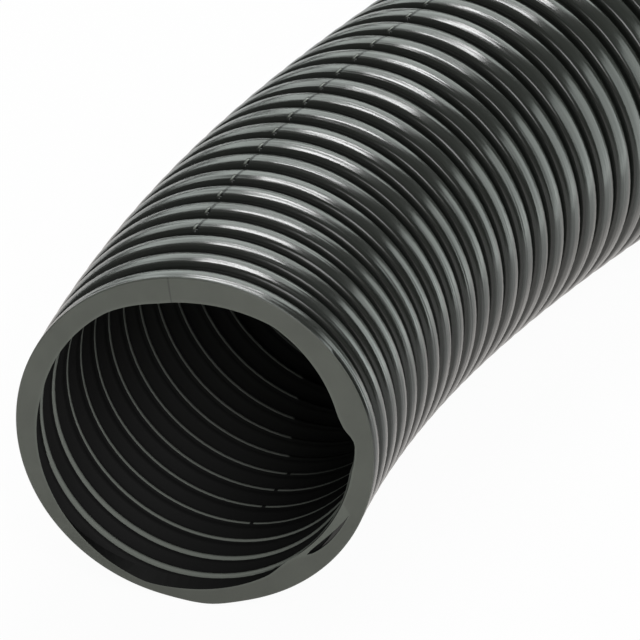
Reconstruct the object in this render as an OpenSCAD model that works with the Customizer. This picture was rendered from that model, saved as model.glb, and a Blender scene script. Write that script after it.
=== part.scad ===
// Swimming-pool vacuum hose: a 38 mm corrugated suction hose, 6.5 m long,
// with a bare square-cut end, the rest wound into a strapped coil, and a
// swivel cuff on the far end, which lies on the coil.
//
// Frame: the origin is the middle of the bare end's mouth. +Y runs into the
// hose from that mouth, +X is to the right and +Z is up. The hose lies on
// the ground, so the ground is half the hose's diameter under the origin.

/* [Hose] */
// Outside diameter over the crests
hose_od = 46; // [44:1:48]
// Inside diameter over the roots of the corrugation
hose_bore = 38; // [36:1:39]
// Distance from one crest to the next
pitch = 4.6; // [4:0.2:5]
// Thickness of the blow-moulded wall
wall = 1.1; // [0.8:0.1:1.3]
// Number of corrugations in the bare end
mouth_waves = 7; // [4:1:10]

/* [Coil] */
// Radius of the coil at the middle of its bundle of turns
coil_r = 230; // [230:5:260]
// Air between neighbouring turns
turn_gap = 0.5; // [0.3:0.1:1]

/* [Straps] */
// Width of the hook-and-loop webbing
strap_w = 25; // [15:1:40]
// Thickness of the webbing
strap_t = 1.6; // [1.2:0.2:3]
// Length of the flap that closes a strap on itself
flap_len = 44; // [30:2:50]

/* [Swivel cuff] */
// Outside diameter of the cuff's two sleeves
cuff_od = 54; // [53:1:58]
// Diameter of the cuff's smooth bore
cuff_bore = 38.4; // [37:0.1:39]
// Length of hose held in the collar
grip_len = 30; // [24:1:40]
// Length of the spigot on which the sleeve turns
neck_len = 23; // [20:1:30]
// Length of smooth bore ahead of the gasket
socket_len = 38; // [30:1:50]
// Radial air between the spigot and the turning sleeve
swivel_fit = 0.08; // [0.05:0.01:0.1]
// Number of grip ribs round the collar
collar_ribs = 20; // [12:1:24]
// Number of finger flutes round the turning sleeve
flutes = 12; // [8:1:16]

/* [Hidden] */

$fn = 96;
eps = 0.01;
hose_r = hose_od / 2;
bore_r = hose_bore / 2;
ground = -hose_r;

// One corrugation, measured from the plane of a cut along a web. The
// outside is [distance, radius] from web to groove, and the inside the same.
root_r = bore_r + wall;
crest_in_r = hose_r - 1.2 * wall;
crest_len = pitch - 1.5;
mouth_len = mouth_waves * pitch - 0.75;

function wave_outside(x) = [
    [x, hose_r - 0.7],
    [x + 0.3, hose_r - 0.2],
    [x + 0.75, hose_r],
    [x + crest_len - 0.75, hose_r],
    [x + crest_len - 0.3, hose_r - 0.2],
    [x + crest_len, hose_r - 0.7],
    [x + crest_len + 0.45, root_r],
    [x + pitch - 0.45, root_r]];

function wave_inside(x) = [
    [x + 0.2, bore_r + 0.45],
    [x + 0.75, crest_in_r - 0.45],
    [x + 1.2, crest_in_r],
    [x + crest_len - 1.2, crest_in_r],
    [x + crest_len - 0.75, crest_in_r - 0.45],
    [x + crest_len - 0.2, bore_r + 0.45],
    [x + crest_len + 0.3, bore_r],
    [x + pitch - 0.3, bore_r]];

function reversed(list) = [for (i = [len(list) - 1 : -1 : 0]) list[i]];

// The outline of the wall, cut open along the middle of its last groove.
mouth_outside = [
    for (i = [0 : mouth_waves - 1])
        for (p = wave_outside(i * pitch))
            if (p[0] < mouth_len - eps) p];
mouth_inside = [
    for (i = [0 : mouth_waves - 1])
        for (p = wave_inside(i * pitch))
            if (p[0] < mouth_len - eps && (i > 0 || p[0] > 0.5)) p];
// The front web keeps the sliver of root that the knife leaves on it.
mouth_lip = [[0.55, bore_r], [0, bore_r]];
mouth_section = concat(mouth_outside,
    [[mouth_len, root_r], [mouth_len, bore_r]],
    reversed(mouth_inside), mouth_lip);

// Coil: two turns wide and two high, on the webbing that runs under it.
turn_step = hose_od + turn_gap;
strap_air = 0.4;
coil_centre = [406, 230];
low_z = ground + strap_t + strap_air + hose_r;
high_z = low_z + turn_step;
outer_r = coil_r + turn_step / 2;
inner_r = coil_r - turn_step / 2;
bundle_z = (low_z + high_z) / 2;

// Where the hose joins the coil, as a heading in degrees that grows
// clockwise from +Y. The hose passes the heading 0 on the coil's left.
join_heading = 50;

// The uncoiled stretch from the mouth to the coil: [x, y, height].
lead_route = [
    [0, 0, 0],
    [5.5, 49.5, 0],
    [20, 97.5, 0],
    [39.5, 143.5, 0],
    [62, 188, 0],
    [86.5, 231.5, 0],
    [113, 274, 0.4],
    [142, 314.5, 0.9],
    [173, 354, 1.4],
    [206, 390, 1.8]];

function on_coil(heading, r, z) = [
    coil_centre[0] - r * cos(heading),
    coil_centre[1] + r * sin(heading),
    z];
function ramp(t) = (1 - cos(180 * min(max(t, 0), 1))) / 2;
function mix(a, b, t) = a + (b - a) * t;

// The hose's last stretch climbs onto the upper outer turn and drifts in to
// the middle of the bundle, raised to the axis of the cuff that lies on the
// coil. Each angle is how far the hose has turned since it joined the coil.
tail_start = 1258;
climb_start = 1263;
climb_end = 1353;
tail_end = 1480;
tail_steps = 13;
cuff_r = cuff_od / 2;
cuff_lift = cuff_r + hose_r + 0.3;

function tail_point(turned) =
    let (up = ramp((turned - climb_start) / (climb_end - climb_start)),
         in = ramp((turned - climb_end) / (tail_end - climb_end)))
    on_coil(join_heading + turned,
        mix(outer_r, coil_r, in),
        high_z + turn_step * up + (cuff_lift - turn_step) * in);

// Cuff: its axis runs along +X, from the coil's farthest point.
body_len = grip_len + 3;
neck_end = body_len + neck_len;
cuff_len = neck_end + 1.8 + socket_len;
cuff_place = [coil_centre[0], coil_centre[1] + coil_r, high_z + cuff_lift];
neck_r = hose_r - 0.5;
cuff_bore_r = cuff_bore / 2;
ring_t = 2;
ring_z = body_len + 10;
gasket_t = 1.5;

tail_route = concat(
    [for (i = [0 : tail_steps])
        tail_point(mix(tail_start, tail_end, i / tail_steps))],
    [cuff_place + [grip_len, 0, 0]]);

// A plain round tube through a list of points, with flat ends.
tube_sides = 12;
function unit(v) = v / norm(v);
function heading_at(p, i) =
    unit(p[min(i + 1, len(p) - 1)] - p[max(i - 1, 0)]);
function ring_at(c, t, r) =
    let (side = unit(cross(t, [0, 0, 1])), up = cross(side, t))
    [for (k = [0 : tube_sides - 1])
        let (a = 360 * (k + 0.5) / tube_sides)
        c + r * (cos(a) * side + sin(a) * up)];

module tube(points, ends, r) {
    last = len(points) - 1;
    rings = [for (i = [0 : last])
        ring_at(points[i],
            i == 0 ? ends[0] : i == last ? ends[1] : heading_at(points, i), r)];
    n = tube_sides;
    walls = [for (i = [0 : last - 1], k = [0 : n - 1])
        [i * n + k, i * n + (k + 1) % n,
         (i + 1) * n + (k + 1) % n, (i + 1) * n + k]];
    front = [for (k = [n - 1 : -1 : 0]) k];
    back = [for (k = [0 : n - 1]) last * n + k];
    polyhedron([for (g = rings) for (p = g) p],
        concat([front], walls, [back]), convexity = 4);
}

// A square with round corners, centred, made of plain circles and squares.
module rounded_square(side, r) {
    flat = side - 2 * r;
    square([side, flat], center = true);
    square([flat, side], center = true);
    for (x = [-1, 1], y = [-1, 1])
        translate([x * flat / 2, y * flat / 2]) circle(r);
}

module hose_mouth() {
    color([0.16, 0.17, 0.16])
        rotate([-90, 0, 0])
            rotate_extrude()
                polygon([for (p = mouth_section) [p[1], p[0]]]);
}

module hose_lead() {
    join = on_coil(join_heading, outer_r, low_z);
    points = concat([[0, mouth_len, 0]],
        [for (i = [1 : len(lead_route) - 1]) lead_route[i]], [join]);
    color([0.14, 0.15, 0.14])
        tube(points, [[0, 1, 0], [sin(join_heading), cos(join_heading), 0]],
            hose_r);
}

module hose_coil() {
    color([0.12, 0.13, 0.12])
        translate([coil_centre[0], coil_centre[1], 0])
            rotate_extrude() {
                translate([coil_r, bundle_z])
                    square(turn_step, center = true);
                for (r = [inner_r, outer_r], z = [low_z, high_z])
                    translate([r, z]) circle(hose_r);
            }
}

module hose_tail() {
    first = tail_route[0];
    color([0.14, 0.15, 0.14])
        tube(tail_route, [unit(tail_route[1] - first), [1, 0, 0]], hose_r - 0.2);
}

// One hook-and-loop strap round the bundle, closed by a flap on its outside.
module strap(heading) {
    inside = hose_od + turn_step + 2 * strap_air;
    corner = hose_r + strap_air;
    color([0.05, 0.05, 0.055])
        translate(on_coil(heading, coil_r, bundle_z))
            rotate([90, 0, 180 - heading])
                translate([0, 0, -strap_w / 2]) {
                    linear_extrude(strap_w)
                        difference() {
                            rounded_square(inside + 2 * strap_t, corner + strap_t);
                            rounded_square(inside, corner);
                        }
                    translate([inside / 2 + strap_t - eps, -flap_len / 2, 0])
                        cube([strap_t, flap_len, strap_w]);
                }
}

// The headings lie where all four turns run side by side.
module coil_strap_far() strap(58);
module coil_strap_side() strap(140);
module coil_strap_near() strap(222);

module on_cuff() {
    translate(cuff_place) rotate([0, 90, 0]) children();
}

// Threaded collar that grips the hose, with the spigot for the sleeve.
module cuff_collar() {
    socket_r = hose_r + 0.2;
    color([0.1, 0.1, 0.1])
        on_cuff()
            union() {
                rotate_extrude()
                    difference() {
                        polygon([
                            [socket_r, 0],
                            [cuff_r - 1.5, 0],
                            [cuff_r, 1.5],
                            [cuff_r, body_len - 1],
                            [cuff_r - 1, body_len],
                            [neck_r, body_len],
                            [neck_r, neck_end - 0.6],
                            [neck_r - 0.6, neck_end],
                            [cuff_bore_r, neck_end],
                            [cuff_bore_r, grip_len],
                            [socket_r, grip_len]]);
                        translate([neck_r - 1.5, ring_z - 0.2])
                            square([2, ring_t + 0.4]);
                    }
                for (i = [0 : collar_ribs - 1])
                    rotate(360 * i / collar_ribs)
                        translate([cuff_r - 0.3, 0, 4])
                            cylinder(r = 1, h = body_len - 9, $fn = 24);
            }
}

// Sleeve that turns on the spigot and pushes onto the vacuum head.
module cuff_swivel() {
    back = body_len + 0.4;
    shoulder = neck_end + gasket_t + 0.3;
    sleeve_r = neck_r + swivel_fit;
    color([0.12, 0.12, 0.12])
        on_cuff()
            difference() {
                rotate_extrude()
                    difference() {
                        polygon([
                            [sleeve_r, back],
                            [cuff_r - 1, back],
                            [cuff_r, back + 1],
                            [cuff_r, shoulder + 6],
                            [cuff_r - 2, shoulder + 9],
                            [cuff_r - 2, cuff_len - 7],
                            [cuff_r - 0.5, cuff_len - 5],
                            [cuff_r - 0.5, cuff_len - 1],
                            [cuff_r - 1.5, cuff_len],
                            [cuff_bore_r + 0.8, cuff_len],
                            [cuff_bore_r, cuff_len - 1.2],
                            [cuff_bore_r, shoulder],
                            [sleeve_r, shoulder]]);
                        translate([sleeve_r - 1, ring_z - 0.3])
                            square([2.4, ring_t + 0.6]);
                    }
                for (i = [0 : flutes - 1])
                    rotate(360 * i / flutes)
                        translate([cuff_r + 1.2, 0, back + 3])
                            cylinder(r = 2.2, h = shoulder - back - 1, $fn = 32);
            }
}

// Split ring that sits in both grooves and keeps the sleeve on the spigot.
module cuff_retaining_ring() {
    in_r = neck_r - 1.4;
    out_r = neck_r + 1.1;
    color([0.8, 0.8, 0.76])
        on_cuff()
            translate([0, 0, ring_z])
                difference() {
                    cylinder(r = out_r, h = ring_t);
                    translate([0, 0, -1]) cylinder(r = in_r, h = ring_t + 2);
                    translate([0, -1.5, -1]) cube([out_r + 1, 3, ring_t + 2]);
                }
}

// Flat rubber washer between the spigot's end and the sleeve's shoulder.
module cuff_gasket() {
    color([0.05, 0.05, 0.05])
        on_cuff()
            translate([0, 0, neck_end + 0.3])
                difference() {
                    cylinder(r = neck_r - 0.2, h = gasket_t);
                    translate([0, 0, -1])
                        cylinder(r = cuff_bore_r + 0.4, h = gasket_t + 2);
                }
}

hose_mouth();
hose_lead();
hose_coil();
hose_tail();
coil_strap_far();
coil_strap_side();
coil_strap_near();
cuff_collar();
cuff_swivel();
cuff_retaining_ring();
cuff_gasket();
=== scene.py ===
# %% [markdown]
# A length of pool vacuum hose. The CAD frame gives the cuff, the straps and the
# route; this script dresses the hose itself as what it really is, one plastic strip
# wound in a helix and welded along its edges. First the frame is loaded.

# %% The frame
import math

import bmesh
import bpy
import numpy as np
from mathutils import Matrix, Vector


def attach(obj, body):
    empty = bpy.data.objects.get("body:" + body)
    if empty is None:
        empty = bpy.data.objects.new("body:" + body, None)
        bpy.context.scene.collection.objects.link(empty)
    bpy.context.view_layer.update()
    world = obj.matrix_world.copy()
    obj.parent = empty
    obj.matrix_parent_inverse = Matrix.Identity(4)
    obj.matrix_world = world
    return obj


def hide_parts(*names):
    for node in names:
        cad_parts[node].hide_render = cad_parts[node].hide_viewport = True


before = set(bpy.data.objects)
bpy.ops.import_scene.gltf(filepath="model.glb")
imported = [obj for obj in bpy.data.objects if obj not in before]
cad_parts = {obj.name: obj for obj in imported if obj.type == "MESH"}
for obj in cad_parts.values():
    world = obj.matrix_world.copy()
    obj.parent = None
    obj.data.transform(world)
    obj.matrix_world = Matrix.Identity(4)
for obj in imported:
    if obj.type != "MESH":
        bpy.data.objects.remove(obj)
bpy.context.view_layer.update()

# %% [markdown]
# The camera stands a little to the right of the cut end and looks down into it, with
# a long lens, as a catalogue picture would. It isn't quite level, and rolls by two
# degrees. It comes first, because the hose's route is judged through it.

# %% The camera
def add_object(name, data):
    """A new object in the scene that shows a mesh, a curve, a light or a camera."""
    made = bpy.data.objects.new(name, data)
    bpy.context.scene.collection.objects.link(made)
    return made


CAMERA_AT = Vector((0.2354, -0.9989, 0.5870))
AIM_AT = Vector((0.00779, 0.03488, 0.0))
CAMERA_ROLL = math.radians(2.11)
LENS_MM, SENSOR_MM = 534.0, 36.0
FAR_CLIP = 50.0

forward = (AIM_AT - CAMERA_AT).normalized()
level = forward.cross(Vector((0, 0, 1))).normalized()
upright = level.cross(forward)
right = level * math.cos(CAMERA_ROLL) + upright * math.sin(CAMERA_ROLL)
up = upright * math.cos(CAMERA_ROLL) - level * math.sin(CAMERA_ROLL)
camera_data = bpy.data.cameras.new("camera")
camera_data.lens = LENS_MM
camera_data.sensor_width = SENSOR_MM
camera_data.clip_end = FAR_CLIP
camera = add_object("camera", camera_data)
camera.matrix_world = Matrix.Translation(CAMERA_AT) @ Matrix(
    (right, up, -forward)).transposed().to_4x4()
bpy.context.scene.camera = camera
print("camera stands", round((AIM_AT - CAMERA_AT).length, 3), "m from the cut end")

# %% [markdown]
# The hose is one fixed length of a stiff, springy tube. It leaves the cut end almost
# straight, swings round in a wide bend, and is stored in four turns: two lie side by
# side on the floor and two lie on those. The last turn rises over the bundle and runs
# into the cuff. The same few numbers as in the CAD source give the route, in metres. Each
# change of lane or layer is written as the degrees turned where it starts and its span.

# %% The route's numbers
MM_PER_M = 1000
PITCH = 0.0046
TURN_STEP = 0.0465
COIL_X, COIL_Y, COIL_R = 0.406, 0.230, 0.230
LOW_Z = 0.002
CUFF_LIFT = 0.0503
JOIN_HEADING = 50
INWARD, UPWARD, OUTWARD = (262, 100), (594, 100), (927, 100)
ONTO_TOP, ONTO_MIDDLE = (1263, 90), (1353, 127)
TAIL_END, COIL_DEGREES = 1480, 10
START_LEAN = math.radians(0.6)
INTO_CUFF = 0.030
ROUTE_STEP, PATH_STEP = 0.002, 0.008
LEAD_ROUTE = [
    (0.0, 0.0, 0.0), (0.0055, 0.0495, 0.0), (0.020, 0.0975, 0.0),
    (0.0395, 0.1435, 0.0), (0.062, 0.188, 0.0), (0.0865, 0.2315, 0.0),
    (0.113, 0.274, 0.0004), (0.142, 0.3145, 0.0009), (0.173, 0.354, 0.0014),
    (0.206, 0.390, 0.0018)]
print("the coil's middle circle is", 2 * COIL_R, "m across")

# %% [markdown]
# The coil is a circle whose radius and height change where the hose moves to another
# lane or layer. One cubic spline through all the points keeps every bend smooth. It is
# read off in even steps, so that a distance along the hose is easy to find on it.

# %% Points on the route
def ramp(t):
    """A smooth rise from 0 to 1."""
    return (1 - math.cos(math.pi * min(max(t, 0.0), 1.0))) / 2


def moved(turned, change):
    """How far one change of lane or layer has come, from 0 to 1."""
    start, span = change
    return ramp((turned - start) / span)


def coil_point(turned):
    """The hose's centre when the coil has turned so many degrees."""
    r = COIL_R + TURN_STEP / 2
    r += TURN_STEP * (moved(turned, OUTWARD) - moved(turned, INWARD))
    z = LOW_Z + TURN_STEP * (moved(turned, UPWARD) + moved(turned, ONTO_TOP))
    over = moved(turned, ONTO_MIDDLE)
    r += (COIL_R - r) * over
    z += (CUFF_LIFT - TURN_STEP) * over
    h = math.radians(JOIN_HEADING + turned)
    return COIL_X - r * math.cos(h), COIL_Y + r * math.sin(h), z


def smooth_line(points, start_dir, end_dir, step, between=40):
    """Even points on the cubic spline through some points, with both ends' directions."""
    p = np.array(points, float)
    t = np.r_[0, np.cumsum(np.linalg.norm(np.diff(p, axis=0), axis=1))]
    h = np.diff(t)
    n = len(p)
    a, b = np.zeros((n, n)), np.zeros((n, 3))
    a[0, 0] = a[-1, -1] = 1
    b[0], b[-1] = start_dir, end_dir
    for i in range(1, n - 1):
        a[i, i - 1], a[i, i], a[i, i + 1] = h[i], 2 * (h[i - 1] + h[i]), h[i - 1]
        b[i] = 3 * (h[i] * (p[i] - p[i - 1]) / h[i - 1] + h[i - 1] * (p[i + 1] - p[i]) / h[i])
    slope = np.linalg.solve(a, b)
    fine = []
    for i in range(n - 1):
        u = np.linspace(0, 1, between, endpoint=False)[:, None]
        fine.append((2 * u**3 - 3 * u**2 + 1) * p[i] + (u**3 - 2 * u**2 + u) * h[i] * slope[i]
                    + (3 * u**2 - 2 * u**3) * p[i + 1] + (u**3 - u**2) * h[i] * slope[i + 1])
    fine = np.vstack([*fine, p[-1:]])
    along = np.r_[0, np.cumsum(np.linalg.norm(np.diff(fine, axis=0), axis=1))]
    even = np.linspace(0, along[-1], int(along[-1] / step) + 1)
    return np.stack([np.interp(even, along, fine[:, i]) for i in range(3)], 1), along[-1]


print("the lead-in has", len(LEAD_ROUTE), "points")

# %% [markdown]
# The whole route runs from the cut, through the lead-in and the coil, into the cuff.

# %% The route
cuff_x = COIL_X + INTO_CUFF
route_points = LEAD_ROUTE + [
    coil_point(turned) for turned in range(0, TAIL_END + 1, COIL_DEGREES)]
route_points.append((cuff_x, COIL_Y + COIL_R, LOW_Z + TURN_STEP + CUFF_LIFT))
lean = (math.sin(START_LEAN), math.cos(START_LEAN), 0.0)
route, HOSE_LENGTH = smooth_line(route_points, lean, (1.0, 0.0, 0.0), ROUTE_STEP)
route_step = HOSE_LENGTH / (len(route) - 1)


def route_between(start, end, step=PATH_STEP):
    """Points on the route from one distance along it to another, both included."""
    s = np.linspace(start, end, int(abs(end - start) / step) + 2)
    grid = np.arange(len(route)) * route_step
    return np.stack([np.interp(s, grid, route[:, i]) for i in range(3)], 1)


print("hose length", round(HOSE_LENGTH, 3), "m,", len(route), "points on the route")

# %% [markdown]
# Everything that follows the route is made on one curve. Its first stretch runs
# straight back past the cut, because the winding starts before it and is cut off flat.

# %% The route as a curve
RUN_IN, RUN_IN_POINTS = 0.014, 7


def route_curve(name):
    """A new curve object along the whole route, with the run-in before the cut."""
    back = [np.array(lean) * -RUN_IN * i / RUN_IN_POINTS for i in range(RUN_IN_POINTS, 0, -1)]
    points = np.vstack([back, route])
    data = bpy.data.curves.new(name, "CURVE")
    data.dimensions = "3D"
    spline = data.splines.new("POLY")
    spline.points.add(len(points) - 1)
    spline.points.foreach_set("co", np.c_[points, np.ones(len(points))].ravel())
    return add_object(name, data)


print("the winding starts", RUN_IN, "m before the cut")

# %% [markdown]
# The wall's section over one pitch is a wide rounded crest and a narrow groove. On the
# inside each groove shows as a thin ridge. A section is a row of points: the share of the
# pitch, the height from the lower radius to the upper one, and the tone, from 0 in a
# hollow to 1 on a crest or a ridge's tip.

# %% The wall's sections
CREST_R, ROOT_R = 0.0230, 0.0208
HOLLOW_R, TIP_R = 0.0217, 0.0202
OUTSIDE_FINE = [
    (0.000, 0.00, 0.0), (0.085, 0.02, 0.0), (0.104, 0.55, 0.4), (0.130, 0.85, 1.0),
    (0.190, 0.92, 1.0), (0.290, 0.968, 1.0), (0.420, 0.995, 1.0), (0.560, 1.00, 1.0),
    (0.700, 0.96, 1.0), (0.790, 0.875, 1.0), (0.835, 0.68, 0.6), (0.880, 0.28, 0.2),
    (1.000, 0.00, 0.0)]
OUTSIDE_PLAIN = [
    (0.000, 0.00, 0.0), (0.090, 0.10, 0.1), (0.125, 0.86, 1.0), (0.280, 0.98, 1.0),
    (0.580, 1.00, 1.0), (0.780, 0.90, 1.0), (0.860, 0.40, 0.3), (1.000, 0.00, 0.0)]
INSIDE_FINE = [
    (0.000, 0.10, 0.0), (0.118, 0.12, 0.0), (0.130, 0.04, 1.0), (0.195, 0.00, 1.0),
    (0.260, 0.04, 1.0), (0.275, 0.25, 0.0), (0.350, 0.85, 0.0), (0.560, 1.00, 0.0),
    (0.780, 0.85, 0.0), (0.900, 0.25, 0.0), (1.000, 0.10, 0.0)]


def section(name, rows, low, high):
    """A row of points that the winding reads: x is in metres along, y the radius."""
    data = bpy.data.meshes.new(name)
    data.from_pydata([(x * PITCH, low + (high - low) * y, 0) for x, y, _ in rows], [], [])
    tone = data.attributes.new("tone", "FLOAT", "POINT")
    tone.data.foreach_set("value", [t for _, _, t in rows])
    return add_object(name, data)


print("crests stand", round((CREST_R - ROOT_R) * MM_PER_M, 2), "mm above the grooves")

# %% [markdown]
# A helix is a rule, so Geometry Nodes wind the hose. Node trees, here and in the
# materials, are written with a few short helpers that add one node each.

# %% Node helpers
def add_node(tree, kind, inputs=None, **settings):
    """Adds one node, sets it, and links or fills its inputs by name or number."""
    node = tree.nodes.new(kind)
    for key, value in settings.items():
        setattr(node, key, value)
    for key, value in (inputs or {}).items():
        if isinstance(value, bpy.types.Node):
            value = value.outputs[0]
        if isinstance(value, bpy.types.NodeSocket):
            tree.links.new(value, node.inputs[key])
        else:
            node.inputs[key].default_value = value
    return node


def maths(tree, operation, *values):
    """A Math node."""
    return add_node(tree, "ShaderNodeMath", dict(enumerate(values)), operation=operation)


def vector_maths(tree, operation, *values):
    """A Vector Math node."""
    return add_node(tree, "ShaderNodeVectorMath", dict(enumerate(values)),
                    operation=operation)


def scaled(tree, vector, factor):
    """A Vector Math node that scales a vector."""
    return add_node(tree, "ShaderNodeVectorMath", {0: vector, "Scale": factor},
                    operation="SCALE")


# %% [markdown]
# A flat grid has one row for each small step round the hose and one column for each
# point of the section. Every grid point finds its place on the route and is set out from
# it by its radius, so the strip's two edges meet one turn later, where they are merged
# into one skin. The tree also stores each point's tone and its place on the winding,
# which the materials read.

# %% The winding tree
MERGE_WITHIN = 2e-5


def counted(tree, place, number):
    """The whole number of a grid's row or column, from its place between -0.5 and 0.5."""
    return maths(tree, "ROUND", maths(
        tree, "MULTIPLY", maths(tree, "ADD", place, 0.5), number))


def winding_tree():
    """Geometry Nodes: winds a wall section along a curve."""
    tree = bpy.data.node_groups.new("wind_hose_wall", "GeometryNodeTree")
    face = tree.interface
    face.new_socket("Geometry", in_out="OUTPUT", socket_type="NodeSocketGeometry")
    for name, kind in (
            ("Geometry", "NodeSocketGeometry"), ("Section", "NodeSocketObject"),
            ("Section Points", "NodeSocketInt"), ("Pitch", "NodeSocketFloat"),
            ("First Turn", "NodeSocketFloat"), ("Turns", "NodeSocketInt"),
            ("Steps Around", "NodeSocketInt"), ("Run In", "NodeSocketFloat"),
            ("Start Angle", "NodeSocketFloat"), ("Material", "NodeSocketMaterial")):
        face.new_socket(name, in_out="INPUT", socket_type=kind)
    given = tree.nodes.new("NodeGroupInput").outputs
    steps = maths(tree, "MULTIPLY", given["Turns"], given["Steps Around"])
    rows = maths(tree, "ADD", steps, 1.0)
    grid = add_node(tree, "GeometryNodeMeshGrid", {
        "Size X": 1.0, "Size Y": 1.0,
        "Vertices X": rows, "Vertices Y": given["Section Points"]})
    place = add_node(tree, "ShaderNodeSeparateXYZ", {
        0: add_node(tree, "GeometryNodeInputPosition")})
    turn = maths(tree, "DIVIDE", counted(tree, place.outputs[0], steps), given["Steps Around"])
    columns = maths(tree, "SUBTRACT", given["Section Points"], 1.0)
    column = counted(tree, place.outputs[1], columns)
    wall = add_node(tree, "GeometryNodeObjectInfo", {"Object": given["Section"]},
                    transform_space="ORIGINAL").outputs["Geometry"]
    point = add_node(tree, "ShaderNodeSeparateXYZ", {0: add_node(
        tree, "GeometryNodeSampleIndex",
        {"Geometry": wall, "Value": add_node(tree, "GeometryNodeInputPosition"), "Index": column},
        data_type="FLOAT_VECTOR")})
    tone = add_node(tree, "GeometryNodeSampleIndex", {
        "Geometry": wall, "Index": column, "Value": add_node(
            tree, "GeometryNodeInputNamedAttribute", {"Name": "tone"}, data_type="FLOAT")},
        data_type="FLOAT")
    wound = maths(tree, "ADD", turn, given["First Turn"])
    along = maths(tree, "ADD", maths(tree, "MULTIPLY", wound, given["Pitch"]), point.outputs[0])
    angle = maths(tree, "SUBTRACT", given["Start Angle"],
                  maths(tree, "MULTIPLY", maths(tree, "FRACT", turn), math.tau))
    sample = add_node(tree, "GeometryNodeSampleCurve", {
        "Curves": given["Geometry"], "Length": maths(tree, "ADD", along, given["Run In"])},
        mode="LENGTH")
    tangent = sample.outputs["Tangent"]
    side = vector_maths(tree, "NORMALIZE", vector_maths(
        tree, "CROSS_PRODUCT", tangent, (0.0, 0.0, 1.0)))
    over = vector_maths(tree, "CROSS_PRODUCT", side, tangent)
    cos, sin = maths(tree, "COSINE", angle), maths(tree, "SINE", angle)
    out = vector_maths(tree, "ADD", scaled(tree, side, cos), scaled(tree, over, sin))
    out = scaled(tree, out, point.outputs[1])
    named = add_node(tree, "GeometryNodeStoreNamedAttribute", {
        "Geometry": grid.outputs["Mesh"], "Name": "tone", "Value": tone},
        data_type="FLOAT", domain="POINT")
    around = add_node(tree, "ShaderNodeCombineXYZ", {0: cos, 1: sin, 2: along})
    named = add_node(tree, "GeometryNodeStoreNamedAttribute", {
        "Geometry": named, "Name": "wound", "Value": around},
        data_type="FLOAT_VECTOR", domain="POINT")
    shifted = add_node(tree, "GeometryNodeSetPosition", {
        "Geometry": named,
        "Position": vector_maths(tree, "ADD", sample.outputs["Position"], out)})
    merged = add_node(tree, "GeometryNodeMergeByDistance", {
        "Geometry": shifted, "Distance": MERGE_WITHIN})
    smooth = add_node(tree, "GeometryNodeSetShadeSmooth", {
        "Geometry": merged, "Shade Smooth": True})
    real = add_node(tree, "GeometryNodeRealizeInstances", {"Geometry": smooth})
    finish = add_node(tree, "GeometryNodeSetMaterial", {
        "Geometry": real, "Material": given["Material"]})
    last = tree.nodes.new("NodeGroupOutput")
    tree.links.new(finish.outputs[0], last.inputs[0])
    return tree


WINDING = winding_tree()
print("winding tree has", len(WINDING.nodes), "nodes")

# %% [markdown]
# Each material stands for a real one. These helpers turn a hex colour into a linear one,
# start a plastic, mix two colours, and mark a band with soft edges.

# %% Material helpers
def linear(hex_colour):
    """An sRGB hex colour as linear RGBA."""
    values = [int(hex_colour[i:i + 2], 16) / 255 for i in (1, 3, 5)]
    return [v / 12.92 if v <= 0.04045 else ((v + 0.055) / 1.055) ** 2.4 for v in values] + [1.0]


def plastic(name, colour, roughness, ior=1.54):
    """A new material with one Principled shader; returns it, its tree and its shader."""
    made = bpy.data.materials.new(name)
    made.use_nodes = True
    tree = made.node_tree
    shader = tree.nodes["Principled BSDF"]
    shader.inputs["Base Color"].default_value = linear(colour)
    shader.inputs["Roughness"].default_value = roughness
    shader.inputs["IOR"].default_value = ior
    return made, tree, shader


def mix_colour(tree, factor, first, second):
    """A Mix node for colours."""
    node = tree.nodes.new("ShaderNodeMix")
    node.data_type = "RGBA"
    for key, value in (("Factor_Float", factor), ("A_Color", first), ("B_Color", second)):
        socket = next(s for s in node.inputs if s.identifier == key)
        if isinstance(value, (bpy.types.NodeSocket, bpy.types.Node)):
            tree.links.new(
                value.outputs[0] if isinstance(value, bpy.types.Node) else value, socket)
        else:
            socket.default_value = value
    return next(s for s in node.outputs if s.identifier == "Result_Color")


def eased(tree, value, low, high, at_low=0.0, at_high=1.0):
    """A smooth step from one number to another while a value goes from low to high."""
    return add_node(tree, "ShaderNodeMapRange", {
        0: value, 1: low, 2: high, 3: at_low, 4: at_high}, interpolation_type="SMOOTHSTEP")


def window(tree, value, low, high, soft):
    """1 where a value lies between two limits, fading to 0 over a soft width outside."""
    return maths(tree, "MULTIPLY",
                 eased(tree, value, maths(tree, "SUBTRACT", low, soft), low),
                 eased(tree, value, high, maths(tree, "ADD", high, soft), 1.0, 0.0))


print("#808080 is", round(linear("#808080")[0], 3), "of white")

# %% [markdown]
# Marks on the wound strip repeat once a turn, so they are placed by the strip and not by
# the scene. Each point has stored the cosine and sine of its angle round the hose and
# how far along it lies. These give the share of the pitch that it has reached.

# %% A point's place on the winding
START_ANGLE = math.radians(30.6)
SPARE_TURNS = 50  # keeps the count of turns above zero


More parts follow.
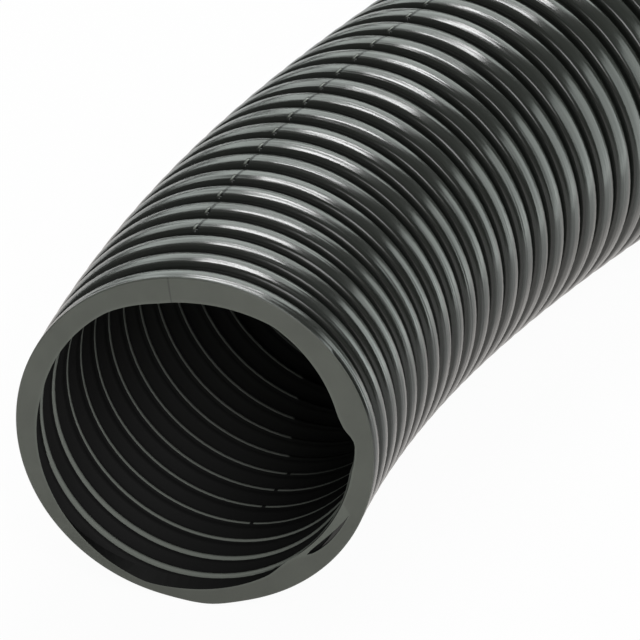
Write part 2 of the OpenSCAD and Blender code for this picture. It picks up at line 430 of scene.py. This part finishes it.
def wound_place(tree):
    """Where a point lies on the winding, as a dictionary of node outputs.

    cos and sin of its angle, degrees round, metres along from the cut, turns wound and
    its share of the pitch.
    """
    wound = add_node(tree, "ShaderNodeAttribute", attribute_name="wound").outputs["Vector"]
    cos, sin, along = add_node(tree, "ShaderNodeSeparateXYZ", {0: wound}).outputs
    degrees = maths(tree, "MULTIPLY", maths(tree, "ARCTAN2", sin, cos), math.degrees(1))
    turns = maths(tree, "ADD", maths(tree, "DIVIDE", along, PITCH),
                  maths(tree, "DIVIDE", degrees, 360.0))
    share = maths(tree, "FRACT", maths(
        tree, "SUBTRACT", turns, START_ANGLE / math.tau - SPARE_TURNS))
    return {"cos": cos, "sin": sin, "degrees": degrees, "along": along,
            "turns": turns, "share": share}


print("the strip starts at", round(math.degrees(START_ANGLE), 1), "degrees")

# %% [markdown]
# The hose wall is black polyethylene, the cheap tough plastic of milk crates and drain
# pipe. It is extruded as a soft ribbon and wound on a mandrel, so the crests cool smooth
# and half glossy and take long thin highlights. The grooves are painted darker, as
# painted shade. The die draws faint lines along each crest. Where the mandrel's halves
# meet, a short slanting nick is left on every crest, with a small pale burr beside it.

# %% The hose's outside
NICK_ANGLE, NICK_FROM = 100.0, 0.012
NICK_SHARE, BURR_SHARE = (0.16, 0.66, 0.05), (0.16, 0.34, 0.06)
NICK_DEGREES, BURR_DEGREES = (-0.32, 0.22, 0.25), (0.5, 1.1, 0.3)
NICK_SLANT, NICK_DEEP = 2.6, 0.0002
BURR_PALE = 0.4
OUTSIDE, tree, shader = plastic("black_polyethylene_extruded", "#242623", 0.22)
tone = add_node(tree, "ShaderNodeAttribute", attribute_name="tone").outputs["Fac"]
# The grooves get the darker colour as painted shade; the crests keep the plastic's own colour.
colour = mix_colour(tree, tone, linear("#0C0D0C"), linear("#242623"))
at = wound_place(tree)
slanted = maths(tree, "ADD", maths(tree, "SUBTRACT", at["degrees"], NICK_ANGLE),
                maths(tree, "MULTIPLY", maths(tree, "SUBTRACT", at["share"], 0.5), NICK_SLANT))
crest = maths(tree, "MULTIPLY", window(tree, at["share"], *NICK_SHARE),
              maths(tree, "GREATER_THAN", at["along"], NICK_FROM))
nick = maths(tree, "MULTIPLY", crest, window(tree, slanted, *NICK_DEGREES))
burr = maths(tree, "MULTIPLY", window(tree, at["share"], *BURR_SHARE), maths(
    tree, "MULTIPLY", crest, window(tree, slanted, *BURR_DEGREES)))
colour = mix_colour(tree, nick, colour, linear("#0A0A0A"))
colour = mix_colour(tree, maths(tree, "MULTIPLY", burr, BURR_PALE), colour, linear("#A4A8A0"))
tree.links.new(colour, shader.inputs["Base Color"])
print(OUTSIDE.name, "with a nick on each crest at", NICK_ANGLE, "degrees")

# %% [markdown]
# The lines are a noise that hardly changes round the hose but does across a crest and
# from one turn to the next. The nick is also duller than the crest, because it is torn.

# %% The outside's relief
LINES_A_PITCH, LINES_A_TURN, LINES_DEEP = 7.0, 0.6, 0.00008
SHINE, NICK_DULLS = 0.5, 0.7
lines = add_node(tree, "ShaderNodeTexNoise", {
    "Vector": add_node(tree, "ShaderNodeCombineXYZ", {
        0: maths(tree, "ADD", maths(tree, "MULTIPLY", at["share"], LINES_A_PITCH), maths(
            tree, "MULTIPLY", maths(tree, "FLOOR", at["turns"]), LINES_A_TURN)),
        1: at["cos"], 2: at["sin"]}),
    "Scale": 1.0, "Detail": 1.0})
drawn = add_node(tree, "ShaderNodeBump", {
    "Height": lines.outputs[0], "Distance": LINES_DEEP, "Strength": 1.0})
dent = add_node(tree, "ShaderNodeBump", {
    "Height": maths(tree, "SUBTRACT", burr, nick), "Distance": NICK_DEEP, "Strength": 1.0,
    "Normal": drawn})
tree.links.new(dent.outputs[0], shader.inputs["Normal"])
shine = maths(tree, "SUBTRACT", 1.0, maths(tree, "MULTIPLY", nick, NICK_DULLS))
shine = maths(tree, "MULTIPLY", shine, SHINE)
tree.links.new(shine.outputs[0], shader.inputs["Specular IOR Level"])
print("die lines", round(LINES_DEEP * MM_PER_M, 3), "mm high, nicks",
      round(NICK_DEEP * MM_PER_M, 3), "mm deep")

# %% [markdown]
# Inside, the same plastic has never been polished, so the hollows are matt and drink
# the light. The ridges' tips catch the light, and this is painted on them as a pale
# painted highlight that is broadest near the mouth. The mandrel's parting leaves a short
# gap in each one, and beyond it, further in, the mouth's rim shades the ridges, so there
# the highlight is left off as painted shadow. Hollows and ridges are both painted paler
# further in, as painted light where less light reaches them.

# %% The hose's inside
PAINTED_LIGHT_FROM, PAINTED_LIGHT_TO = 0.018, 0.060
RIDGE_SHIFT, RIDGE_END, RIDGE_SOFT = 0.3, 0.562, 0.012
BROAD_AT, BROAD_START = 0.002, 0.31
SLIM_AT, SLIM_START = 0.014, 0.448
INSIDE, tree, shader = plastic("black_polyethylene_bore", "#141414", 0.70)
shader.inputs["Specular IOR Level"].default_value = 0.20
at = wound_place(tree)
# Painted light: both colours turn paler from 18 mm to 60 mm in, where less light reaches.
painted_light_deeper = eased(tree, at["along"], PAINTED_LIGHT_FROM, PAINTED_LIGHT_TO)
# The ridges' pale colour is a painted highlight where light catches their tips; the hollows keep
# the dark plastic.
ridge_highlight_colour = mix_colour(tree, painted_light_deeper, linear("#7C807A"), linear("#C8CBC5"))
hollow_colour = mix_colour(tree, painted_light_deeper, linear("#131313"), linear("#464645"))
# The painted highlight is a broad band near the mouth and slims further in.
highlight_start = eased(tree, at["along"], BROAD_AT, SLIM_AT, BROAD_START, SLIM_START)
share = maths(tree, "FRACT", maths(tree, "ADD", at["share"], RIDGE_SHIFT))
ridge_highlight = window(tree, share, highlight_start.outputs[0], RIDGE_END, RIDGE_SOFT)
print(INSIDE.name, "with ridges over", round(RIDGE_END - SLIM_START, 3), "of the pitch")

# %% [markdown]
# The gaps start a little way in, where the ridges' painted highlight has grown slim. The
# edge of the painted shadow, cast by the mouth's rim, moves round the hose by a degree
# for each millimetre further in.

# %% Gaps in the ridges, and the painted shadow beyond them
PARTING_ANGLE, PARTING_HALF, PARTING_FROM = -79.7, 0.65, 0.0138
SHADOW_FROM, SHADOW_TO, SHADOW_MOVES_AT = 0.026, 0.034, 0.030
SHADOW_DEGREES_A_METRE, SHADOW_LAST = 1000.0, 100.0
GAP_SOFT, SHADOW_SOFT = 0.2, 1.5
gap = maths(tree, "MULTIPLY",
            window(tree, at["degrees"], PARTING_ANGLE - PARTING_HALF,
                   PARTING_ANGLE + PARTING_HALF, GAP_SOFT),
            maths(tree, "GREATER_THAN", at["along"], PARTING_FROM))
# Painted shadow: further in, the ridges' highlight is taken away where the mouth's rim shades the
# wall.
retreat = maths(tree, "MAXIMUM", maths(
    tree, "MULTIPLY", maths(tree, "SUBTRACT", at["along"], SHADOW_MOVES_AT),
    SHADOW_DEGREES_A_METRE), 0.0)
start = maths(tree, "SUBTRACT", PARTING_ANGLE, retreat)
painted_shadow = maths(tree, "MULTIPLY",
                window(tree, at["degrees"], start, SHADOW_LAST, SHADOW_SOFT),
                eased(tree, at["along"], SHADOW_FROM, SHADOW_TO))
gap_or_painted_shadow = maths(tree, "MAXIMUM", gap, painted_shadow)
ridge_highlight = maths(tree, "MULTIPLY", ridge_highlight, maths(tree, "SUBTRACT", 1.0, gap_or_painted_shadow))
tree.links.new(mix_colour(tree, ridge_highlight, hollow_colour, ridge_highlight_colour), shader.inputs["Base Color"])
print("ridges part at", PARTING_ANGLE, "degrees")

# %% [markdown]
# The knife's cut shows the plastic's raw body: sheared, not moulded, so it is matt and a
# warm grey-green. Its inner edge is a little paler, and the parting crosses it as one
# thin line.

# %% The knife's cut
DRAG_SCALE = 260.0  # cells of about 4 mm
SEAM_HALF, SEAM_SOFT, SEAM_DARK = 0.15, 0.25, 0.5
PALE_EDGE_TO, PALE_EDGE_SHARE = 0.14, 0.4
CUT, tree, shader = plastic("black_polyethylene_knife_cut", "#555852", 0.55)
tone = add_node(tree, "ShaderNodeAttribute", attribute_name="tone").outputs["Fac"]
drag = add_node(tree, "ShaderNodeTexNoise", {
    "Vector": add_node(tree, "ShaderNodeTexCoord").outputs["Object"],
    "Scale": DRAG_SCALE, "Detail": 3.0})
colour = mix_colour(tree, drag.outputs[0], linear("#4D504A"), linear("#5D6059"))
# The ring turns a little paler towards its inner edge.
pale_edge = add_node(tree, "ShaderNodeMapRange", {
    0: tone, 1: 0.0, 2: PALE_EDGE_TO, 3: PALE_EDGE_SHARE, 4: 0.0})
colour = mix_colour(tree, pale_edge, colour, linear("#6E736C"))
seam = window(tree, wound_place(tree)["degrees"],
              NICK_ANGLE - SEAM_HALF, NICK_ANGLE + SEAM_HALF, SEAM_SOFT)
colour = mix_colour(tree, maths(tree, "MULTIPLY", seam, SEAM_DARK), colour, linear("#2E302C"))
tree.links.new(colour, shader.inputs["Base Color"])
print(CUT.name, "with a line at", NICK_ANGLE, "degrees")

# %% [markdown]
# Each stretch of hose is wound by the tree and baked to a plain mesh. A stretch ends on
# the helix's own edge, so the next one starts on exactly the same edge and no seam shows.
# An end that is out of sight is fanned to one point, so that every piece is closed.

# %% Winding a stretch
SEAM_TURN = 61
ON_PLANE = 1e-6  # a vertex this near to a slice lies on it


def wind(name, walls, first_turn, turns, around, material):
    """The skin of a stretch of hose, as a plain mesh."""
    carrier = route_curve(name)
    modifier = carrier.modifiers.new("winding", "NODES")
    modifier.node_group = WINDING
    sockets = {s.name: s.identifier for s in WINDING.interface.items_tree
               if s.item_type == "SOCKET" and s.in_out == "INPUT"}
    for key, value in (
            ("Section", walls), ("Section Points", len(walls.data.vertices)),
            ("Pitch", PITCH), ("First Turn", float(first_turn)), ("Turns", turns),
            ("Steps Around", around), ("Run In", RUN_IN), ("Start Angle", START_ANGLE),
            ("Material", material)):
        modifier[sockets[key]] = value
    depsgraph = bpy.context.evaluated_depsgraph_get()
    mesh = bpy.data.meshes.new_from_object(
        carrier.evaluated_get(depsgraph), depsgraph=depsgraph)
    mesh.name = name
    bpy.data.objects.remove(carrier)
    return mesh


def hub_after(turn):
    """The point inside the hose where a stretch is closed that ends after some turns."""
    return Vector(route_between(0, (turn + 0.5) * PITCH)[-1])


def close_ends(shape, centres, slice_at=None):
    """Fans each open rim of a bmesh, but not a flat slice, to the nearest of some centres."""
    rims = [e for e in shape.edges if e.is_boundary and (
        slice_at is None or any(abs(v.co.y - slice_at) > ON_PLANE for v in e.verts))]
    hubs = [shape.verts.new(c) for c in centres]
    for edge in rims:
        middle = (edge.verts[0].co + edge.verts[1].co) / 2
        hub = min(hubs, key=lambda v: (v.co - middle).length)
        made = shape.faces.new((edge.verts[0], edge.verts[1], hub))
        made.smooth = False


print("the mouth stretch ends", round(PITCH * SEAM_TURN, 4), "m from the cut")

# %% [markdown]
# The mouth stretch has both skins, because one looks into it. The inner one ends a little
# past what one can see. Each is wound from before the cut and sliced off flat by a plane a
# little way in. At the cut the bore lies half a millimetre off centre, and it comes back
# to the middle further in.

# %% One skin
FIRST_TURN, INSIDE_TURNS = -2, 30
AROUND_FINE = 90
OUTER_SLICE, INNER_SLICE = 0.0005, 0.0013
SLICE_WITHIN = 1e-7
BORE_SHIFT, BORE_SHIFT_DEPTH = 0.00050, 0.016
ON_OUTSIDE, ON_INSIDE, ON_CUT = range(3)


def give_materials(mesh):
    """Gives a mesh the hose's three materials, in the order of the numbers above."""
    for material in (OUTSIDE, INSIDE, CUT):
        mesh.materials.append(material)


def skin(walls, last_turn, slice_at, index):
    """One skin of the mouth stretch, as an object whose faces have one material."""
    mesh = wind("skin", walls, FIRST_TURN, last_turn - FIRST_TURN, AROUND_FINE, OUTSIDE)
    mesh.materials.clear()
    give_materials(mesh)
    mesh.polygons.foreach_set("material_index", [index] * len(mesh.polygons))
    shape = bmesh.new()
    shape.from_mesh(mesh)
    if index == ON_INSIDE:
        places = shape.verts.layers.float_vector["wound"]
        for vert in shape.verts:
            depth = max(vert[places][2], 0)
            vert.co.x -= BORE_SHIFT * math.exp(-(depth / BORE_SHIFT_DEPTH) ** 2)
    bmesh.ops.bisect_plane(
        shape, geom=shape.verts[:] + shape.edges[:] + shape.faces[:], dist=SLICE_WITHIN,
        plane_co=(0, slice_at, 0), plane_no=(0, -1, 0), clear_outer=True)
    close_ends(shape, [hub_after(last_turn)], slice_at)
    shape.to_mesh(mesh)
    shape.free()
    return add_object(mesh.name, mesh)


print("the inner skin ends", round(INSIDE_TURNS * PITCH, 3), "m from the cut")

# %% [markdown]
# The two skins are joined, and from here one bmesh holds them, so that the cut can be
# built between their rims.

# %% The two skins
outside_fine = section("outside_fine", OUTSIDE_FINE, ROOT_R, CREST_R)
inside_fine = section("inside_fine", INSIDE_FINE, TIP_R, HOLLOW_R)
skins = [skin(outside_fine, SEAM_TURN, OUTER_SLICE, ON_OUTSIDE),
         skin(inside_fine, INSIDE_TURNS, INNER_SLICE, ON_INSIDE)]
with bpy.context.temp_override(active_object=skins[0], selected_editable_objects=skins):
    bpy.ops.object.join()
shape = bmesh.new()
shape.from_mesh(skins[0].data)
bpy.data.objects.remove(skins[0])
print("the two skins have", len(shape.faces), "faces")

# %% [markdown]
# The knife's cut is drawn as a ring: round outside, with a small burr, and inside
# following the wall that the blade went through, thick where it ran along a ridge and
# thin where it crossed a hollow. The angles run from +X towards +Z, in degrees.

# %% The ring's radii
RING_STEPS = 192
CUT_CHAMFER = 0.00015
CUT_INNER_MM = [
    (0, 20.45), (8, 20.7), (11, 20.45), (13, 19.75), (16, 19.5), (20, 19.3), (40, 19.8),
    (62, 20.3), (76, 19.9), (90, 19.6), (105, 19.5), (125, 20.2), (150, 20.1),
    (168, 20.0), (180, 20.25), (210, 20.9), (240, 21.7), (255, 22.0), (268, 21.4),
    (285, 20.8), (300, 20.3), (308, 19.6), (320, 19.7), (342, 20.0), (360, 20.3)]
CUT_BURR_ANGLE, CUT_BURR_SPREAD, CUT_BURR_MM = 276, 8, 0.30

angles = [360 * i / RING_STEPS for i in range(RING_STEPS)]
inner_mm = np.interp(angles, *zip(*CUT_INNER_MM))
inner_mm = (np.roll(inner_mm, 1) + 2 * inner_mm + np.roll(inner_mm, -1)) / 4
outer_mm = [CREST_R * MM_PER_M + CUT_BURR_MM * math.exp(
    -((a - CUT_BURR_ANGLE) / CUT_BURR_SPREAD) ** 2) for a in angles]
wall_mm = np.array(outer_mm) - inner_mm
print("the cut wall is", round(wall_mm.min(), 2), "to", round(wall_mm.max(), 2), "mm thick")

# %% [markdown]
# The ring's corners are loops of vertices. A band of triangles joins two loops that have
# different numbers of vertices by always taking the nearer next angle.

# %% Loops and bands
def ring_point(degrees, radius_mm, depth):
    """A point on the cut: an angle from +X towards +Z, a radius and a depth behind it."""
    angle, radius = math.radians(degrees), radius_mm / MM_PER_M
    return radius * math.cos(angle), depth, radius * math.sin(angle)


def loop(shape, points, tone, hollow=False):
    """New vertices in a ring, which know their tone and their place on the winding."""
    tones = shape.verts.layers.float["tone"]
    places = shape.verts.layers.float_vector["wound"]
    verts = [shape.verts.new(p) for p in points]
    for vert in verts:
        radius = math.hypot(vert.co.x, vert.co.z)
        vert[tones] = tone
        cos, sin = vert.co.x / radius, vert.co.z / radius
        in_hollow = PITCH * (0.5 + (START_ANGLE - math.atan2(sin, cos)) / math.tau)
        vert[places] = (cos, sin, in_hollow if hollow else vert.co.y)
    return verts


def next_angle(angles, i):
    """The angle that a band would reach next on one rim, or infinity at its end."""
    if i + 1 < len(angles):
        return angles[i + 1]
    return angles[0] + math.tau if i < len(angles) else math.inf


def zip_rims(shape, first, second, material):
    """Fills between two rings of vertices round the hose with triangles, by angle."""
    rims = [sorted(rim, key=lambda v: math.atan2(v.co.z, v.co.x)) for rim in (first, second)]
    angles = [[math.atan2(v.co.z, v.co.x) for v in rim] for rim in rims]
    i, j = 0, 0
    n, m = len(rims[0]), len(rims[1])
    while i < n or j < m:
        a, b = rims[0][i % n], rims[1][j % m]
        if next_angle(angles[0], i) <= next_angle(angles[1], j):
            corners = (a, rims[0][(i + 1) % n], b)
            i += 1
        else:
            corners = (a, rims[1][(j + 1) % m], b)
            j += 1
        face = shape.faces.new(corners)
        face.material_index = material
        face.smooth = False


print("the ring starts at", [round(x, 4) for x in ring_point(0, inner_mm[0], 0)])

# %% [markdown]
# The outer corner is chamfered, as a blade leaves it. Bands join the ring's corners to
# the rims that the slices left on the two skins.

# %% The ring's rims
open_verts = {v for e in shape.edges if e.is_boundary for v in e.verts}
outer_rim = [v for v in open_verts if abs(v.co.y - OUTER_SLICE) < ON_PLANE]
inner_rim = [v for v in open_verts if abs(v.co.y - INNER_SLICE) < ON_PLANE]
chamfer_mm = CUT_CHAMFER * MM_PER_M
edge = loop(shape, [ring_point(a, r - chamfer_mm, 0) for a, r in zip(angles, outer_mm)], 1.0)
brow = loop(shape, [ring_point(a, r, CUT_CHAMFER) for a, r in zip(angles, outer_mm)], 1.0)
lip = loop(shape, [ring_point(a, r, 0) for a, r in zip(angles, inner_mm)], 0.0)
zip_rims(shape, edge, brow, ON_CUT)
zip_rims(shape, brow, outer_rim, ON_OUTSIDE)
zip_rims(shape, lip, inner_rim, ON_INSIDE)
print("rims of", len(outer_rim), "and", len(inner_rim), "vertices are joined to the ring")

# %% [markdown]
# Low on one side a dark slit stays in the ring, between the tip of a ridge and the wall
# behind it. It is made as a shallow pocket with its own floor, so the mesh stays closed.

# %% The slit
SLIT_FROM, SLIT_TO = (317, 20.35), (340, 21.35)
SLIT_HALF_MM, SLIT_DEPTH = 0.36, 0.0007
SLIT_STEPS, SLIT_SKEW = 10, 0.65


def slit_point(t, side):
    """The angle and radius of a point on one side of the slit, for t from 0 to 1."""
    degrees, radius_mm = [a + (b - a) * t for a, b in zip(SLIT_FROM, SLIT_TO)]
    return degrees, radius_mm + side * SLIT_HALF_MM * math.sin(math.pi * t ** SLIT_SKEW)


slit = [slit_point(t, side) for side, start, end in ((1, 0, 1), (-1, 1, 0))
        for t in np.linspace(start, end, SLIT_STEPS + 1)[:-1]]
slit_front = loop(shape, [ring_point(a, r, 0) for a, r in slit], 0.0, hollow=True)
slit_back = loop(shape, [ring_point(a, r, SLIT_DEPTH) for a, r in slit], 0.0, hollow=True)
for i in range(len(slit_front)):
    k = (i + 1) % len(slit_front)
    face = shape.faces.new((slit_front[i], slit_front[k], slit_back[k], slit_back[i]))
    face.material_index = ON_INSIDE
shape.faces.new(slit_back).material_index = ON_INSIDE
print("the slit is", 2 * SLIT_HALF_MM, "mm wide and", SLIT_DEPTH * MM_PER_M, "mm deep")

# %% [markdown]
# The flat face of the cut fills what lies between the outer corner, the inner one and
# the slit. Then the whole stretch is one closed mesh.

# %% The mouth stretch
ring_edges = []
for verts in (edge, lip, slit_front):
    for i in range(len(verts)):
        pair = (verts[i], verts[(i + 1) % len(verts)])
        ring_edges.append(shape.edges.get(pair) or shape.edges.new(pair))
filled = bmesh.ops.triangle_fill(shape, edges=ring_edges, use_beauty=True, normal=(0, -1, 0))
ring = [f for f in filled["geom"] if isinstance(f, bmesh.types.BMFace)]
for face in ring:
    face.material_index = ON_CUT
    face.smooth = False
bmesh.ops.recalc_face_normals(shape, faces=shape.faces[:])
open_edges = sum(not e.is_manifold for e in shape.edges)
mouth_mesh = bpy.data.meshes.new("hose_mouth_stretch")
shape.to_mesh(mouth_mesh)
shape.free()
give_materials(mouth_mesh)
mouth = add_object("hose_mouth_stretch", mouth_mesh)
print("mouth stretch has", len(mouth_mesh.polygons), "faces,", len(ring), "on the ring,",
      open_edges, "edges that aren't between two faces")

# %% [markdown]
# The stored length repeats the same winding with a plainer section and only its outside,
# in four stretches, so that no one mesh grows too heavy. The sections have then been
# used and are taken away.

# %% The stored stretches
STRETCHES, AROUND_PLAIN = 4, 36
outside_plain = section("outside_plain", OUTSIDE_PLAIN, ROOT_R, CREST_R)
all_turns = int(HOSE_LENGTH / PITCH) - 1
borders = [SEAM_TURN + round((all_turns - SEAM_TURN) * i / STRETCHES)
           for i in range(STRETCHES + 1)]
stored = []
for i in range(STRETCHES):
    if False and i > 0:
        break
    name, first, last = f"hose_stretch_{i + 1}", borders[i], borders[i + 1]
    mesh = wind(name, outside_plain, first, last - first, AROUND_PLAIN, OUTSIDE)
    shape = bmesh.new()
    shape.from_mesh(mesh)
    close_ends(shape, [hub_after(first), hub_after(last)])
    bmesh.ops.recalc_face_normals(shape, faces=shape.faces[:])
    shape.to_mesh(mesh)
    shape.free()
    stored.append(add_object(name, mesh))
    print(name, "has", len(mesh.polygons), "faces")

for helper in (outside_fine, inside_fine, outside_plain):
    bpy.data.objects.remove(helper)

# %% [markdown]
# The cuff and the straps keep their CAD shapes and get their real finishes. A grain is a
# pattern in Object coordinates, with cells and heights in millimetres. It raises the
# surface and also runs between two colours.

# %% Grain
def grain(tree, shader, cell_mm, height_mm, first, second, kind="ShaderNodeTexNoise"):
    """Gives a shader a fine raised grain between two colours."""
    pattern = add_node(tree, kind, {
        "Vector": add_node(tree, "ShaderNodeTexCoord").outputs["Object"],
        "Scale": MM_PER_M / cell_mm})
    raised = add_node(tree, "ShaderNodeBump", {
        "Height": pattern.outputs[0], "Distance": height_mm / MM_PER_M})
    tree.links.new(raised.outputs[0], shader.inputs["Normal"])
    colour = mix_colour(tree, pattern.outputs[0], linear(first), linear(second))
    tree.links.new(colour, shader.inputs["Base Color"])


# %% [markdown]
# EVA, the soft rubbery plastic of shoe soles, is injected into a sparked steel mould, so
# it carries an even fine grain that spreads every highlight.

# %% The cuff's plastic
CUFF, tree, shader = plastic("black_eva_moulded", "#2C2E2D", 0.42)
grain(tree, shader, 0.7, 0.025, "#262827", "#343635")
print("made", CUFF.name)

# %% [markdown]
# Acetal, the slippery plastic of zip sliders, is moulded in its natural milk white. It
# is smooth, with faint cloudy flow marks and a soft waxy gloss.

# %% The retaining ring's plastic
RING, tree, shader = plastic("natural_acetal_moulded", "#D8D9D4", 0.35, 1.48)
grain(tree, shader, 6.0, 0.01, "#CFD0CA", "#E0E1DC")
print("made", RING.name)

# %% [markdown]
# Nitrile rubber, as in tap washers, is pressed in a hot mould and dusted with talc. It is
# dull black with a greyer bloom in patches.

# %% The gasket's rubber
GASKET, tree, shader = plastic("black_nitrile_rubber", "#181818", 0.60, 1.52)
grain(tree, shader, 1.5, 0.02, "#141414", "#2A2A29")
print("made", GASKET.name)

# %% [markdown]
# Hook-and-loop tape is nylon knitted into a pile of small loops. The loops scatter the
# light, so the tape looks softer and a little greyer than the hose it holds.

# %% The straps' webbing
WEBBING, tree, shader = plastic("black_nylon_hook_and_loop", "#242526", 0.90, 1.53)
shader.inputs["Sheen Weight"].default_value = 0.4
grain(tree, shader, 0.8, 0.25, "#38393A", "#121213", "ShaderNodeTexVoronoi")
print("made", WEBBING.name)

# %% [markdown]
# Any material that a CAD piece came with is taken off, and its real one is put on. Its
# shape stays as it is.

# %% Dressing the CAD pieces
for node, material in (
        ("cuff_collar", CUFF), ("cuff_swivel", CUFF), ("cuff_retaining_ring", RING),
        ("cuff_gasket", GASKET), ("coil_strap_far", WEBBING),
        ("coil_strap_side", WEBBING), ("coil_strap_near", WEBBING)):
    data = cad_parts[node].data
    data.materials.clear()
    data.materials.append(material)
    print(node, "is", material.name)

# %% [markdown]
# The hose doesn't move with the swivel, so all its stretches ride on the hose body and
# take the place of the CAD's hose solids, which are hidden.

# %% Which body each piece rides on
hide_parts("hose_mouth", "hose_lead")
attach(mouth, "hose")
for i, piece in enumerate(stored):
    start, end = borders[i] * PITCH, borders[i + 1] * PITCH
    last = i == STRETCHES - 1
    if last:
        end = HOSE_LENGTH
    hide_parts("hose_coil", "hose_tail")
    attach(piece, "hose")
print("declared", 1 + len(stored), "stretches of hose")

# %% [markdown]
# The floor is a wide square just under the lowest crests. It belongs to the studio and
# not to the part.

# %% The floor
GROUND_Z, FLOOR_HALF = -0.0232, 6
floor_mesh = bpy.data.meshes.new("floor")
floor_mesh.from_pydata(
    [(x * FLOOR_HALF, y * FLOOR_HALF, GROUND_Z)
     for x, y in ((-1, -1), (1, -1), (1, 1), (-1, 1))], [], [(0, 1, 2, 3)])
floor = add_object("floor", floor_mesh)
print("the floor lies", -GROUND_Z, "m below the middle of the cut end")

# %% [markdown]
# The floor is pale and matt. The camera sees it as plain white, with a little of the
# lit floor left in, so that a faint shadow stays. Glossy plastic mirrors that white only
# from a sheet of floor close to the near stretch. The sheet's right edge bends with the
# hose, and beyond it the plastic mirrors the matt floor as the lamps light it.

# %% The floor's material
WHITE_SHARE = 0.96
SHEET_END, SHEET_EDGE = (0.13, 0.19), (0.034, 0.048)
SHEET_BEND = 2.05  # times the square of the distance behind the cut
floor_material = bpy.data.materials.new("white_floor")
floor_material.use_nodes = True
tree = floor_material.node_tree
tree.nodes.clear()
rays = add_node(tree, "ShaderNodeLightPath")
glossy = rays.outputs["Is Glossy Ray"]
matt = add_node(tree, "ShaderNodeBsdfDiffuse", {"Color": linear("#E6E6E6")})
glow = add_node(tree, "ShaderNodeEmission", {
    "Color": mix_colour(tree, glossy, linear("#FFFFFF"), linear("#FFFBF8")),
    "Strength": 1.0})
x, y, _ = add_node(tree, "ShaderNodeSeparateXYZ", {
    0: add_node(tree, "ShaderNodeTexCoord").outputs["Object"]}).outputs
near = eased(tree, y, *SHEET_END, 1.0, 0.0)
bend = maths(tree, "MULTIPLY", maths(tree, "POWER", y, 2.0), SHEET_BEND)
beside = eased(tree, maths(tree, "SUBTRACT", x, bend), *SHEET_EDGE, 1.0, 0.0)
mirrored = maths(tree, "MULTIPLY", glossy, maths(tree, "MULTIPLY", near, beside))
white_for = maths(tree, "MULTIPLY", maths(
    tree, "MAXIMUM", rays.outputs["Is Camera Ray"], mirrored), WHITE_SHARE)
both = add_node(tree, "ShaderNodeMixShader", {0: white_for, 1: matt, 2: glow})
add_node(tree, "ShaderNodeOutputMaterial", {"Surface": both})
floor_mesh.materials.append(floor_material)
print("glossy rays see white as far as", SHEET_END[1], "m behind the cut")

# %% [markdown]
# A softbox high behind the hose draws the streak along its crests. A broad one lower
# down, a little to the left, lights the flanks, and one in front, to the right of the
# camera, shows the cut ring. The coil hides the lamps from the right of the near
# stretch, so a small card between the two, which the camera doesn't see, lights it.

# %% The lights
LIT_AT = (0.02, 0.06, 0.0)
COOL_WHITE = "#F1FAF5"


def softbox(name, azimuth, elevation, distance, width, height, power, tint="#FFFFFF",
            target=LIT_AT):
    """An area light that faces the hose. Azimuth is from +Y towards +X, in degrees."""
    a, e = math.radians(azimuth), math.radians(elevation)
    out = Vector((math.sin(a) * math.cos(e), math.cos(a) * math.cos(e), math.sin(e)))
    data = bpy.data.lights.new(name, "AREA")
    data.shape = "RECTANGLE"
    data.size, data.size_y = width, height
    data.energy = power
    data.color = linear(tint)[:3]
    lamp = add_object(name, data)
    lamp.rotation_euler = out.to_track_quat("Z", "Y").to_euler()
    lamp.location = Vector(target) + out * distance
    print(name, "gives", power, "W")
    return lamp


softbox("softbox_behind", -2, 50, 1.5, 0.80, 0.24, 12)
softbox("softbox_low", -13, 26, 1.6, 1.80, 0.90, 12, COOL_WHITE)
softbox("softbox_front", 150, 40, 1.8, 0.9, 0.9, 14)
card = softbox("card_beside", 90, 0, 0.0, 0.070, 0.085, 0.053, COOL_WHITE,
               target=(0.100, 0.118, 0.022))
card.visible_camera = False

# %% [markdown]
# The room is a pale grey that lights the hose from all round. Glossy plastic mirrors it
# at half its strength, so that black stays black, and the camera sees plain white.

# %% The world
ROOM_STRENGTH, MIRRORED_STRENGTH = 0.45, 0.22
world = bpy.data.worlds.new("studio")
bpy.context.scene.world = world
world.use_nodes = True
tree = world.node_tree
tree.nodes.clear()
rays = add_node(tree, "ShaderNodeLightPath")
room, dim = [add_node(tree, "ShaderNodeBackground", {
    "Color": linear("#C8CCC8"), "Strength": strength})
    for strength in (ROOM_STRENGTH, MIRRORED_STRENGTH)]
room = add_node(tree, "ShaderNodeMixShader", {
    0: rays.outputs["Is Glossy Ray"], 1: room, 2: dim})
white = add_node(tree, "ShaderNodeBackground", {"Color": (1, 1, 1, 1), "Strength": 1.0})
both = add_node(tree, "ShaderNodeMixShader", {
    0: rays.outputs["Is Camera Ray"], 1: room, 2: white})
add_node(tree, "ShaderNodeOutputWorld", {"Surface": both})
bpy.context.scene.view_settings.view_transform = "Standard"
print("the room shines at", ROOM_STRENGTH)
